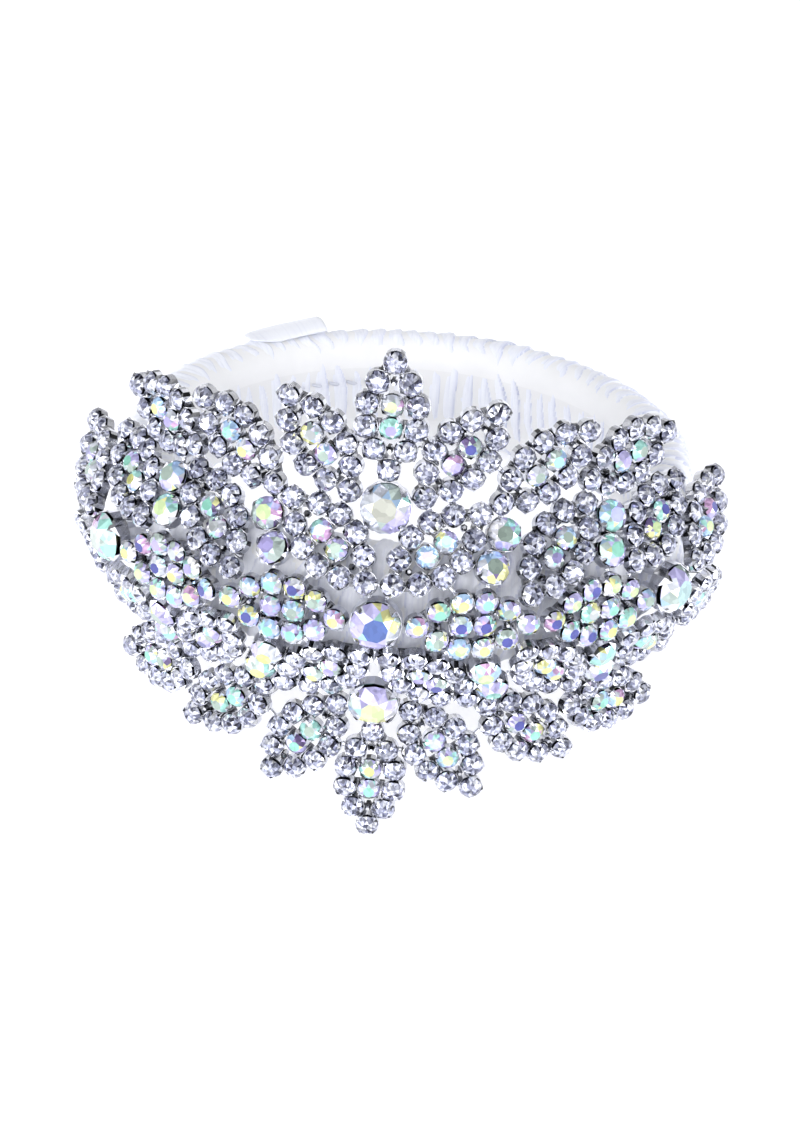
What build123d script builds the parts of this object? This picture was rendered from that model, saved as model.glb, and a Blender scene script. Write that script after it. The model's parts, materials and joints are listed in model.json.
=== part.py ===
"""Bun ring: a padded, ribbon-wrapped hoop with a rhinestone applique sewn over its front.

Millimetres.  The hoop is modelled about its own axis (+Z), with the applique centred on -Y.
REST then leans everything back until the lowest leaf tip and the back of the band share a surface.
"""
from build123d import *
import os
from math import asin, atan2, cos, degrees, hypot, radians, sin

# ---- hoop ----
HOOP_R = 27.0            # radius at the middle of the padded band
BAND_T = 6.24            # thickness of the band, measured along the radius
BAND_H = 13.0            # height of the band, along the hoop's axis
INNER_FLAT = 7.0         # height of the straight wall on the inside
OUTER_FLAT = 5.0         # height over which the outside is nearly straight
OUTER_CROWN = 0.5        # how far the outside bulges over that height
RIBBON_T = 0.4           # thickness of the wound ribbon
CORE_T = 1.0             # thickness of the spring band inside
CORE_H = 6.0             # height of the spring band inside

# ---- loose end of the ribbon ----
END_BEARING = 138.0      # where the cut end starts, in degrees round from the front, left side
END_SPAN = 22.0          # how far it runs round the hoop, in degrees
END_WIDTH = 3.4          # width of the folded end
END_LIFT = 0.9           # how far its edge stands above the band

# ---- stitches inside the band ----
STITCHES = 7
STITCH_PITCH = 2.0       # spacing round the inside
STITCH_LENGTH = 1.1
STITCH_R = 0.18          # thread radius
STITCH_PROUD = 0.12      # how far a stitch stands off the inner wall; the rest is pulled into the ribbon
STITCH_GAP = 0.02
STITCH_BEARING = 170.0   # bearing of the first stitch, left side
STITCH_Z = 1.4           # height above the middle of the band

# ---- stones and their cups: radius of the stone, and heights above the back of the cup ----
SMALL = {"stone_r": 1.04, "wall": 0.07, "rim": 1.2, "crown": 0.55}
MEDIUM = {"stone_r": 1.55, "wall": 0.09, "rim": 1.5, "crown": 0.8}
BIG = {"stone_r": 2.4, "wall": 0.1, "rim": 1.8, "crown": 1.2}
TABLE_SHARE = 0.58       # radius of a stone's flat top, as a share of its own radius
CULET_SHARE = 0.22       # radius of its blunt point
FLOOR_T = 0.3            # thickness of a cup's floor
SEAT_GAP = 0.03          # clearance between a stone and its cup
CUP_GAP = 0.07           # clearance between neighbouring small cups
PAIR_GAP = 0.04          # clearance between the two cups of a pair
GIRDLE_T = 0.12          # thickness of a stone's widest band
BACK_DEPTH = SMALL["rim"] + SMALL["crown"]   # from the small stones' faces to the backs of the cups
SMALL_CUP, MEDIUM_CUP, BIG_CUP = (size["stone_r"] + SEAT_GAP + size["wall"] for size in (SMALL, MEDIUM, BIG))
PITCH = 2 * SMALL_CUP + CUP_GAP              # spacing of the small stones

# ---- surface of the stones' faces: an oval plan with a side profile ----
STAND_OFF = 0.83         # clearance from the band to the backs of the cups at the front
OVAL = 1.7               # how much half the width is more than half the depth
PLAN_B = HOOP_R + BAND_T / 2 + STAND_OFF + BACK_DEPTH   # half depth
PLAN_A = PLAN_B + OVAL   # half width
PLAN_Z = 0.2             # height of its middle row above the middle of the band
PROFILE_STEP = 0.25      # step used to add the side profile up

# ---- the layout below is drawn for these sizes, and is scaled to the real ones ----
DRAWN_PITCH, DRAWN_MEDIUM, DRAWN_BIG = 2.35, 1.67, 2.53
DRAWN_A = 34.4
GROW = max(PITCH / DRAWN_PITCH, MEDIUM_CUP / DRAWN_MEDIUM, BIG_CUP / DRAWN_BIG)   # for heights
SPREAD = GROW * DRAWN_A / PLAN_A       # for bearings
EDGE = BAND_H / 2 / GROW               # drawn height of the band's edge, over which the profile leans in
LEAN_KNOTS = ((0.0, 0.0), (EDGE - 3.4, 11.0), (EDGE - 0.2, 34.0), (EDGE + 2.9, 27.0), (EDGE + 6.0, 7.0),
              (EDGE + 10.2, 0.0), (EDGE + 22.5, 7.0))

# ---- wires ----
WEB_W = 0.7              # width of the flat wires that join the cups of a leaf
WEB_T = 0.3
LINK_R = 0.28            # round wires soldered between neighbouring settings
LINK_REACH = 2.4 * GROW  # longest gap that a soldered wire bridges
LINK_GAP = 0.02
TIE_R = 0.3              # thread shanks from the band to the applique
TIE_SET = ((0, 0.0), (1, 15.75), (1, 38.7), (1, 54.9))
TIE_SPREAD = 0.8         # half the spacing of the two strands of a shank

# ---- layout: name, bearing, height on the profile, turn from level ----
LEAVES = (
    ("heart", 9.4, 7.85, 40.0),
    ("fan", 13.3, 16.7, 53.0),
    ("wing", 30.0, 15.0, 36.0),
    ("shoulder", 31.7, 7.3, 47.0),
    ("plume", 50.0, 14.3, 12.0),
    ("flank", 54.5, 7.5, 32.0),
    ("cheek", 69.3, 4.8, 31.0),
)
CREST_HEIGHT = 20.4      # middle of the upright leaf on the centre line
MID_LEAVES = (("inner", 15.75), ("outer", 38.7))
MID_END = 54.9           # bearing of the big stone that ends the middle row
TOP_BIG_HEIGHT = 11.4    # big stone above and below the middle one
PAIRS = (("inner", (18.8, 5.85), (21.5, 9.4)), ("outer", (41.7, 6.1), (43.5, 9.3)))

# leaf pattern in pitches: (across, along)
LEAF_CRYSTALS = ((0, -2.3), (0, 2.3), (0.65, -1.44), (-0.65, -1.44), (0.65, 1.44), (-0.65, 1.44),
                 (1.03, -0.5), (-1.03, -0.5), (1.03, 0.5), (-1.03, 0.5))
LEAF_HEARTS = ((0, -0.5), (0, 0.5))
LEAF_WIRES = ((0, 2), (2, 6), (6, 8), (8, 4), (4, 1), (1, 5), (5, 9), (9, 7), (7, 3), (3, 0),
              (10, 11), (6, 10), (7, 10), (8, 11), (9, 11))

SIDES = (("left", -1), ("right", 1))
ROWS = (("upper", 1), ("lower", -1))


# ---- hoop pieces ----
def band_outline(inset):
    """Section of the band: straight inside, softly crowned outside, `inset` under its surface."""
    inner = HOOP_R - BAND_T / 2 + inset
    outer = HOOP_R + BAND_T / 2 - inset
    half = BAND_H / 2 - inset
    with BuildLine() as edges:
        Line((inner, -INNER_FLAT / 2), (inner, INNER_FLAT / 2))
        ThreePointArc((inner, INNER_FLAT / 2), (HOOP_R, half), (outer - OUTER_CROWN, OUTER_FLAT / 2))
        ThreePointArc((outer - OUTER_CROWN, OUTER_FLAT / 2), (outer, 0),
                      (outer - OUTER_CROWN, -OUTER_FLAT / 2))
        ThreePointArc((outer - OUTER_CROWN, -OUTER_FLAT / 2), (HOOP_R, -half), (inner, -INNER_FLAT / 2))
    return Plane.XZ * make_face(edges.line)


def hoop_pieces():
    """Spring band, wadding round it and the ribbon skin, each filling the space inside the next."""
    skin = revolve(band_outline(0), Axis.Z)
    filling = revolve(band_outline(RIBBON_T), Axis.Z)
    core_r = HOOP_R - BAND_T / 2 + RIBBON_T
    core = (Cylinder(core_r + CORE_T, CORE_H) - Cylinder(core_r, CORE_H))
    dents = stitches(STITCH_R + STITCH_GAP, STITCH_LENGTH + 2 * STITCH_GAP)
    return {"hoop_core": core, "hoop_padding": filling - core, "ribbon_wrap": skin - filling - dents}


def ribbon_end():
    """The ribbon's cut end: a flat strip lying along the top of the band at the back."""
    base = BAND_H / 2 + 0.02
    strip = Plane.XZ * Pos(HOOP_R + END_WIDTH / 4, base + END_LIFT / 2) * Rectangle(END_WIDTH, END_LIFT)
    start = -90 - END_BEARING - END_SPAN
    return Rot(0, 0, start) * revolve(strip, Axis.Z, END_SPAN)


def stitches(radius, length):
    """A run of short straight stitches along the inner wall, of the given size."""
    middle_r = HOOP_R - BAND_T / 2 - STITCH_PROUD + STITCH_R
    step = degrees(STITCH_PITCH / middle_r)
    thread = Rot(0, 90, 0) * Cylinder(radius, length)
    turns = [-90 - STITCH_BEARING + step * i for i in range(STITCHES)]
    return [Rot(0, 0, turn) * Pos(middle_r, 0, STITCH_Z) * Rot(0, 0, 90) * thread for turn in turns]


# ---- the applique's surface ----
def lean_at(height):
    """Lean of the side profile towards the axis, in degrees, between its knots."""
    for (low, lean_low), (high, lean_high) in zip(LEAN_KNOTS, LEAN_KNOTS[1:]):
        if height <= high:
            return lean_low + (lean_high - lean_low) * (height - low) / (high - low)
    return LEAN_KNOTS[-1][1]


def profile(height):
    """How far in and how far up the side profile has gone after a drawn `height` along it."""
    steps = max(1, round(height / PROFILE_STEP))
    size = height / steps
    leans = [radians(lean_at((i + 0.5) * size)) for i in range(steps)]
    return sum(sin(lean) for lean in leans) * size * GROW, sum(cos(lean) for lean in leans) * size * GROW


def seat(bearing, height, turn=0.0, side=1, row=1):
    """Plane on the backs of the cups at a drawn place: +Z outwards, +Y turned from level by `turn`."""
    inset, rise = profile(height)
    lean, angle = radians(lean_at(height)), radians(bearing * SPREAD)
    half_a, half_b = PLAN_A - inset, PLAN_B - inset
    face = Vector(side * half_a * sin(angle), -half_b * cos(angle), PLAN_Z + row * rise)
    along = Vector(side * half_a * cos(angle), half_b * sin(angle), 0).normalized()
    outward = Vector(side * half_b * sin(angle), -half_a * cos(angle), 0).normalized()
    rising = Vector(0, 0, row) * cos(lean) - outward * sin(lean)
    normal = outward * cos(lean) + Vector(0, 0, row) * sin(lean)
    length = along * cos(radians(turn)) + rising * sin(radians(turn))
    return Plane(face - normal * BACK_DEPTH, x_dir=length.cross(normal), z_dir=normal)


# ---- stones and cups ----
def cup(size):
    """A cup open at the front, with a seat that follows the stone's back."""
    radius = size["stone_r"] + SEAT_GAP + size["wall"]
    seat_r = size["stone_r"] + SEAT_GAP
    depth = size["rim"] - FLOOR_T
    body = Pos(0, 0, size["rim"] / 2) * Cylinder(radius, size["rim"])
    hollow = Pos(0, 0, FLOOR_T + depth / 2) * Cone(size["stone_r"] * CULET_SHARE + SEAT_GAP, seat_r, depth)
    return body - hollow


def stone(size):
    """A cut stone: flat table, sloping crown, thin girdle and a blunt cone that sits in the cup."""
    radius, rim = size["stone_r"], size["rim"]
    depth = rim - FLOOR_T - SEAT_GAP
    crown = size["crown"] - GIRDLE_T
    back = Pos(0, 0, rim - depth / 2) * Cone(radius * CULET_SHARE, radius, depth)
    girdle = Pos(0, 0, rim + GIRDLE_T / 2) * Cylinder(radius, GIRDLE_T)
    front = Pos(0, 0, rim + GIRDLE_T + crown / 2) * Cone(radius, radius * TABLE_SHARE, crown)
    return back + girdle + front


def wire(start, end):
    """A flat wire on the backs of two cups, from centre to centre."""
    (x0, y0), (x1, y1) = start, end
    length = hypot(x1 - x0, y1 - y0)
    bar = Box(WEB_W, length, WEB_T)
    place = Pos((x0 + x1) / 2, (y0 + y1) / 2, WEB_T / 2) * Rot(0, 0, degrees(atan2(y1 - y0, x1 - x0)) - 90)
    return place * bar


def joined_cups(size, centres, wires):
    """Cups at `centres`, soldered into one piece by flat wires between the listed pairs."""
    solid = cup(size)
    body = [Pos(x, y, 0) * solid for x, y in centres]
    bars = [wire(centres[i], centres[j]) for i, j in wires]
    radius = size["stone_r"] + SEAT_GAP
    wells = [Pos(x, y, FLOOR_T) * Cylinder(radius, size["rim"], align=(Align.CENTER, Align.CENTER, Align.MIN))
             for x, y in centres]
    return body[0].fuse(*body[1:], *[bar - wells for bar in bars])


def scaled(points):
    """Turns pitches into millimetres."""
    return [(x * PITCH, y * PITCH) for x, y in points]


PAIR_HALF = MEDIUM_CUP + PAIR_GAP / 2
LEAF_SETTING = joined_cups(SMALL, scaled(LEAF_CRYSTALS + LEAF_HEARTS), LEAF_WIRES)
PAIR_SETTING = joined_cups(MEDIUM, [(0, -PAIR_HALF), (0, PAIR_HALF)], [(0, 1)])
BIG_SETTING = cup(BIG)
SMALL_STONE, MEDIUM_STONE, BIG_STONE = stone(SMALL), stone(MEDIUM), stone(BIG)


class Applique:
    """Collects the placed settings and stones, and remembers every cup for the links."""

    def __init__(self):
        self.nodes = {}
        self.groups = {"crystals_upper": [], "crystals_lower": [], "stones_iridescent": [],
                       "stones_medium": [], "stones_big": []}
        self.cups = []

    def keep_cups(self, name, plane, centres, size):
        """Notes where each cup's back lies in space."""
        radius = size["stone_r"] + SEAT_GAP + size["wall"]
        self.cups += [(name, plane.from_local_coords(Vector(x, y, LINK_R)), radius) for x, y in centres]

    def add_leaf(self, name, plane, row):
        """A leaf: ten clear stones round two iridescent ones, or twelve iridescent in the middle row."""
        place = Location(plane)
        self.nodes["leaf_" + name] = place * LEAF_SETTING
        clear = "stones_iridescent" if row == 0 else ("crystals_upper" if row > 0 else "crystals_lower")
        self.groups[clear] += [place * Pos(x, y, 0) * SMALL_STONE for x, y in scaled(LEAF_CRYSTALS)]
        self.groups["stones_iridescent"] += [place * Pos(x, y, 0) * SMALL_STONE for x, y in scaled(LEAF_HEARTS)]
        self.keep_cups(name, plane, scaled(LEAF_CRYSTALS + LEAF_HEARTS), SMALL)

    def add_pair(self, name, plane):
        """Two medium iridescent stones side by side."""
        place, centres = Location(plane), [(0, -PAIR_HALF), (0, PAIR_HALF)]
        self.nodes["pair_" + name] = place * PAIR_SETTING
        self.groups["stones_medium"] += [place * Pos(x, y, 0) * MEDIUM_STONE for x, y in centres]
        self.keep_cups(name, plane, centres, MEDIUM)

    def add_big(self, name, plane):
        """One big iridescent stone."""
        self.nodes["setting_" + name] = Location(plane) * BIG_SETTING
        self.groups["stones_big"].append(Location(plane) * BIG_STONE)
        self.keep_cups(name, plane, [(0, 0)], BIG)

    def links(self):
        """Round wires between the nearest cups of neighbouring settings, from wall to wall."""
        nearest = {}
        for i, (name, point, radius) in enumerate(self.cups):
            for other, there, other_radius in self.cups[i + 1:]:
                gap = (there - point).length - radius - other_radius
                if other != name and gap < nearest.get((name, other), (LINK_REACH,))[0]:
                    nearest[(name, other)] = (gap, point, radius, there, other_radius)
        wires = []
        for gap, point, radius, there, other_radius in nearest.values():
            if gap > 4 * LINK_GAP:
                way = (there - point).normalized()
                start = point + way * (radius + LINK_GAP)
                wires.append(Location(Plane(start, z_dir=way))
                             * Cylinder(LINK_R, gap - 2 * LINK_GAP, align=(Align.CENTER, Align.CENTER, Align.MIN)))
        return wires


def build_applique():
    """Places every setting: centre line first, then the mirrored leaves and pairs, then the middle row."""
    trim = Applique()
    for row_name, row in ROWS:
        trim.add_leaf(f"{row_name}_crest", seat(0, CREST_HEIGHT, 90, 1, row), row)
        trim.add_big(f"{row_name}_centre", seat(0, TOP_BIG_HEIGHT, 0, 1, row))
        for side_name, side in SIDES:
            for name, bearing, height, turn in LEAVES:
                trim.add_leaf(f"{row_name}_{name}_{side_name}", seat(bearing, height, turn, side, row), row)
            for name, (near, low), (far, high) in PAIRS:
                middle = seat((near + far) / 2, (low + high) / 2, 0, side, row)
                run = radians((far - near) * SPREAD) * (PLAN_A - profile(low)[0])
                turn = degrees(atan2((high - low) * GROW, run))
                trim.add_pair(f"{row_name}_{name}_{side_name}",
                              seat((near + far) / 2, (low + high) / 2, turn, side, row))
    trim.add_big("middle", seat(0, 0))
    for side_name, side in SIDES:
        trim.add_big(f"end_{side_name}", seat(MID_END, 0, 0, side))
        for name, bearing in MID_LEAVES:
            trim.add_leaf(f"middle_{name}_{side_name}", seat(bearing, 0, 0, side), 0)
    return trim


def sewing_ties():
    """Two-strand thread shanks that hold the middle row off the band where the oval leaves it."""
    strand = []
    for mirrored, bearing in TIE_SET:
        for side in ((-1, 1) if mirrored else (1,)):
            plane = seat(bearing, 0, 0, side)
            way = Vector(plane.origin.X, plane.origin.Y, 0).normalized()
            reach = Vector(plane.origin.X, plane.origin.Y, 0).length
            gap = reach - (HOOP_R + BAND_T / 2) - 2 * LINK_GAP
            for lift in (-TIE_SPREAD, TIE_SPREAD):
                foot = way * (HOOP_R + BAND_T / 2 + LINK_GAP) + Vector(0, 0, plane.origin.Z + lift)
                strand.append(Location(Plane(foot, z_dir=way))
                              * Cylinder(TIE_R, gap, align=(Align.CENTER, Align.CENTER, Align.MIN)))
    return strand


def rest_turn():
    """Angle at which the lowest leaf tip and the back of the band touch one level surface."""
    tip = seat(0, CREST_HEIGHT + 2.3 * PITCH / GROW, 90, 1, -1).origin
    reach = HOOP_R - tip.Y
    drop = -tip.Z + SMALL["stone_r"] + SMALL["wall"]
    return degrees(atan2(drop, reach) - asin(BAND_H / 2 / hypot(reach, drop)))


def main():
    """Builds every node, leans it to rest, and writes one file for each."""
    trim = build_applique()
    nodes = {name: [shape] for name, shape in hoop_pieces().items()}
    nodes["ribbon_end"] = [ribbon_end()]
    nodes["wrap_stitches"] = stitches(STITCH_R, STITCH_LENGTH)
    nodes["sewing_ties"] = sewing_ties()
    nodes["solder_links"] = trim.links()
    nodes.update({name: [shape] for name, shape in trim.nodes.items()})
    nodes.update(trim.groups)

    lean = Rot(-rest_turn(), 0, 0)
    leaned = {name: [lean * shape for shape in shapes] for name, shapes in nodes.items()}
    box = Compound([solid for shapes in leaned.values() for shape in shapes for solid in shape.solids()])
    corner = box.bounding_box()
    rest = Pos(-corner.center().X, -corner.center().Y, -corner.min.Z)
    print("lean", round(rest_turn(), 3), "shift", rest.position, "size", corner.size)

    os.makedirs("parts", exist_ok=True)
    for name, shapes in leaned.items():
        solids = [rest * solid for shape in shapes for solid in shape.solids()]
        export_step(solids[0] if len(solids) == 1 else Compound(solids), f"parts/{name}.step")


main()
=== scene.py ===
"""Bun ring: a satin-wound padded hoop with a rhinestone applique over its front."""
import json
import logging
from dataclasses import dataclass, field
from enum import Enum
from math import cos, pi, radians, sin
from typing import Optional

import bpy
import numpy as np
from bpy.types import Material, Node, NodeTree, Object
from mathutils import Matrix, Vector


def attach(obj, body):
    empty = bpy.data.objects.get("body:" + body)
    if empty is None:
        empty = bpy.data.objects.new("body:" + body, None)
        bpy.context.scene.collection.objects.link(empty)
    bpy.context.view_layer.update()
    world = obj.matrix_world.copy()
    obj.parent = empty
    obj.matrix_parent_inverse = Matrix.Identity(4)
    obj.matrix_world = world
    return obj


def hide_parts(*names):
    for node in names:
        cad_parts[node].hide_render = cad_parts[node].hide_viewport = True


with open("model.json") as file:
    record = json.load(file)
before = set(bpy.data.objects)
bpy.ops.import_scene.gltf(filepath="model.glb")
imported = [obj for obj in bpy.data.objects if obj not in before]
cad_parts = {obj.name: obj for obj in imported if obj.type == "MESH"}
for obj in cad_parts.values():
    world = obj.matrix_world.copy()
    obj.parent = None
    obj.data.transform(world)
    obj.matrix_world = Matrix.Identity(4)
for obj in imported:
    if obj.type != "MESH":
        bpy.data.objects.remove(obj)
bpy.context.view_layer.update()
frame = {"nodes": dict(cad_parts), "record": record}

LOG = logging.getLogger("bun_ring")
MM = 0.001
SEED = 20260


# ---------------------------------------------------------------- shared shapes
@dataclass(frozen=True)
class HoopSpace:
    """The hoop's own axes, leaned back inside the resting frame.

    The hoop's axis is the bun bore's axis, and X is shared with the resting frame.
    """

    centre: np.ndarray
    axis: np.ndarray

    @classmethod
    def from_record(cls, record: dict) -> "HoopSpace":
        """Reads the hoop's centre and axis from the bore that goes round the bun.

        Args:
            record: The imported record.

        Returns:
            The hoop's space.
        """
        bore = next(m for m in record["mounts"] if m["name"] == "bun_bore")
        axis = np.array(bore["axis"], float)
        return cls(np.array(bore["pos_m"], float), axis / np.linalg.norm(axis))

    def basis(self) -> np.ndarray:
        """Rows are the hoop's X, Y and Z in the resting frame."""
        across = np.array([1.0, 0.0, 0.0])
        return np.stack([across, np.cross(self.axis, across), self.axis])

    def place(self, points: np.ndarray) -> np.ndarray:
        """Turns hoop millimetres into resting metres: centre plus each coordinate along its axis."""
        return self.centre + points * MM @ self.basis()


@dataclass
class Shell:
    """Vertices and faces on their way into a mesh, with a colour for each face."""

    points: np.ndarray
    faces: list
    tints: np.ndarray

    @staticmethod
    def joined(shells: list) -> "Shell":
        """Puts several shells into one, shifting their face numbers.

        Args:
            shells: The shells to join.

        Returns:
            One shell.
        """
        starts = np.cumsum([0] + [len(s.points) for s in shells[:-1]])
        faces = [tuple(int(i) + int(a) for i in face) for s, a in zip(shells, starts) for face in s.faces]
        return Shell(np.concatenate([s.points for s in shells]), faces,
                     np.concatenate([s.tints for s in shells]))


def into_scene(name: str, data: bpy.types.ID) -> Object:
    """Makes an object of a mesh, lamp or camera and links it into the scene."""
    made = bpy.data.objects.new(name, data)
    bpy.context.scene.collection.objects.link(made)
    return made


def add_piece(name: str, shell: Shell, material: Material, smooth: bool = False) -> Object:
    """Makes a mesh object that rides on the root, with its place in its mesh.

    Args:
        name: Name of the piece.
        shell: Its vertices in metres, faces and face colours.
        material: Its finish.
        smooth: Whether its faces are shaded smooth.

    Returns:
        The new object.
    """
    mesh = bpy.data.meshes.new(name)
    mesh.from_pydata(shell.points.tolist(), [], shell.faces)
    counts = np.array([len(face) for face in shell.faces])
    colours = np.repeat(np.c_[shell.tints, np.ones(len(shell.tints))], counts, axis=0)
    layer = mesh.color_attributes.new("facet", "FLOAT_COLOR", "CORNER")
    layer.data.foreach_set("color", colours.astype(np.float32).ravel())
    mesh.polygons.foreach_set("use_smooth", np.full(len(counts), smooth))
    mesh.materials.append(material)
    mesh.update()
    piece = into_scene(name, mesh)
    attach(piece, "root")
    LOG.info("%s: %d faces", name, len(counts))
    return piece


def grid_faces(rows: int, columns: int, wrap_rows: bool, wrap_columns: bool) -> np.ndarray:
    """Quads of a grid whose vertex (i, j) is number i * columns + j.

    Args:
        rows: Number of rows.
        columns: Number of columns.
        wrap_rows: Whether the last row meets the first.
        wrap_columns: Whether the last column meets the first.

    Returns:
        An array of quads.
    """
    i, j = np.meshgrid(np.arange(rows if wrap_rows else rows - 1),
                       np.arange(columns if wrap_columns else columns - 1), indexing="ij")
    i, j = i.ravel(), j.ravel()
    next_i, next_j = (i + 1) % rows, (j + 1) % columns
    return np.stack([i * columns + j, next_i * columns + j,
                     next_i * columns + next_j, i * columns + next_j], 1)


def turned(radius: np.ndarray, angle: np.ndarray, height: np.ndarray) -> np.ndarray:
    """Points round an axis: radius times cosine and sine of the angle, at a height."""
    return np.stack(np.broadcast_arrays(radius * np.cos(angle), radius * np.sin(angle), height), -1)


def ring(radius: float, height: float, count: int, turn: float = 0.0) -> np.ndarray:
    """Points evenly round a circle at one height."""
    return turned(radius, turn + np.arange(count) * 2 * pi / count, height)


def tube(path: np.ndarray, radius: float, sides: int) -> tuple:
    """A round tube carried along a path, closed at both ends by a small cap.

    Each ring is the path's point plus radius times cosine and sine along two directions square to it.

    Args:
        path: Points of the path.
        radius: Radius of the tube.
        sides: Corners of its section.

    Returns:
        Its points and its faces.
    """
    ahead = np.gradient(path, axis=0)
    ahead /= np.linalg.norm(ahead, axis=1, keepdims=True)
    hint = np.array([0.0, 0.0, 1.0]) if abs(ahead[0, 2]) < 0.9 else np.array([1.0, 0.0, 0.0])
    left = np.cross(ahead, hint)
    left /= np.linalg.norm(left, axis=1, keepdims=True)
    over = np.cross(left, ahead)
    angle = -np.arange(sides) * 2 * pi / sides
    swell = np.ones(len(path))
    swell[[0, -1]] = 0.55
    rims = path[:, None] + (radius * swell)[:, None, None] * (
        np.cos(angle)[None, :, None] * left[:, None] + np.sin(angle)[None, :, None] * over[:, None])
    faces = [tuple(q) for q in grid_faces(len(path), sides, False, True).tolist()]
    last = (len(path) - 1) * sides
    faces.append(tuple(range(sides - 1, -1, -1)))
    faces.append(tuple(range(last, last + sides)))
    return rims.reshape(-1, 3), faces


# ---------------------------------------------------------------- finishes
def fill(node: Node, values: dict) -> None:
    """Sets inputs of a node, each given by its name or number."""
    for socket, value in values.items():
        node.inputs[socket].default_value = value


class NodeSheet:
    """A node tree with short calls to add and join nodes."""

    def __init__(self, tree: NodeTree) -> None:
        """Keeps the tree."""
        self.tree = tree

    def add(self, kind: str, inputs: Optional[dict] = None, **settings: object) -> Node:
        """Adds a node, then sets its properties and its inputs.

        Args:
            kind: The node's type.
            inputs: Values by the input's name or number.
            **settings: Properties.

        Returns:
            The new node.
        """
        node = self.tree.nodes.new(kind)
        for name, value in settings.items():
            setattr(node, name, value)
        fill(node, inputs or {})
        return node

    def join(self, *links: tuple) -> None:
        """Links sockets; each link is a node and its output, then a node and its input."""
        for source, output, target, socket in links:
            self.tree.links.new(source.outputs[output], target.inputs[socket])


def new_group(name: str, inputs: dict, outputs: dict) -> tuple:
    """Starts a shader node group with named sockets.

    Args:
        name: Name of the group.
        inputs: Socket type and default for each input.
        outputs: Socket type for each output.

    Returns:
        The group's tree, its node sheet, its input node and its output node.
    """
    tree = bpy.data.node_groups.new(name, "ShaderNodeTree")
    for label, (kind, default) in inputs.items():
        tree.interface.new_socket(label, in_out="INPUT", socket_type=kind).default_value = default
    for label, kind in outputs.items():
        tree.interface.new_socket(label, in_out="OUTPUT", socket_type=kind)
    sheet = NodeSheet(tree)
    return tree, sheet, sheet.add("NodeGroupInput"), sheet.add("NodeGroupOutput")


def sparkle_group() -> NodeTree:
    """Group that breaks a facet into shards: small cells, each painted lighter or darker as glints, and
    tipped a little.

    Returns:
        The group, with outputs Color and Height.
    """
    tree, sheet, given, result = new_group(
        "Shards inside a stone",
        {"Facet": ("NodeSocketColor", (1, 1, 1, 1)), "Cells": ("NodeSocketFloat", 3000.0),
         "Darkest": ("NodeSocketFloat", 0.5), "Lightest": ("NodeSocketFloat", 1.3)},
        {"Color": "NodeSocketColor", "Height": "NodeSocketFloat"})
    spot = sheet.add("ShaderNodeTexCoord")
    cells = sheet.add("ShaderNodeTexVoronoi", feature="F1", distance="MANHATTAN")
    grey = sheet.add("ShaderNodeSeparateColor")
    level = sheet.add("ShaderNodeMapRange")
    shade = sheet.add("ShaderNodeVectorMath", operation="SCALE")
    sheet.join((spot, "Object", cells, "Vector"),
               (given, "Cells", cells, "Scale"),
               (cells, "Color", grey, 0),
               (grey, 0, level, "Value"),
               (given, "Darkest", level, "To Min"),
               (given, "Lightest", level, "To Max"),
               (given, "Facet", shade, 0),
               (level, 0, shade, "Scale"),
               (shade, 0, result, "Color"),
               (grey, 1, result, "Height"))
    return tree


def mottle_group() -> NodeTree:
    """Group that varies a colour and a roughness with soft noise in object space.

    Returns:
        The group, with outputs Color, Roughness and Height.
    """
    tree, sheet, given, result = new_group(
        "Soft mottle",
        {"Light": ("NodeSocketColor", (1, 1, 1, 1)), "Dark": ("NodeSocketColor", (0.8, 0.8, 0.8, 1)),
         "Scale": ("NodeSocketFloat", 400.0), "Smooth": ("NodeSocketFloat", 0.2),
         "Rough": ("NodeSocketFloat", 0.4)},
        {"Color": "NodeSocketColor", "Roughness": "NodeSocketFloat", "Height": "NodeSocketFloat"})
    spot = sheet.add("ShaderNodeTexCoord")
    noise = sheet.add("ShaderNodeTexNoise", {"Detail": 4.0})
    blend = sheet.add("ShaderNodeMix", data_type="RGBA")
    level = sheet.add("ShaderNodeMapRange")
    sheet.join((spot, "Object", noise, "Vector"),
               (given, "Scale", noise, "Scale"),
               (noise, 0, blend, "Factor"),
               (given, "Light", blend, "A"),
               (given, "Dark", blend, "B"),
               (noise, 0, level, "Value"),
               (given, "Smooth", level, "To Min"),
               (given, "Rough", level, "To Max"),
               (blend, "Result", result, "Color"),
               (level, 0, result, "Roughness"),
               (noise, 0, result, "Height"))
    return tree


def blank_material(name: str) -> tuple:
    """Makes a material with its Principled shader.

    Args:
        name: Name of the material.

    Returns:
        The material, its node sheet and the shader.
    """
    material = bpy.data.materials.new(name)
    material.use_nodes = True
    return material, NodeSheet(material.node_tree), material.node_tree.nodes["Principled BSDF"]


def times_facet(sheet: NodeSheet, node: Node, output: str) -> tuple:
    """Multiplies a colour by the face colours that the mesh carries.

    Args:
        sheet: The material's node sheet.
        node: The node that gives the colour.
        output: The output that gives it.

    Returns:
        The node and the output that give the product.
    """
    facet = sheet.add("ShaderNodeVertexColor", layer_name="facet")
    product = sheet.add("ShaderNodeMix", {"Factor": 1.0}, data_type="RGBA", blend_type="MULTIPLY")
    sheet.join((node, output, product, "A"), (facet, "Color", product, "B"))
    return product, "Result"


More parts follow.
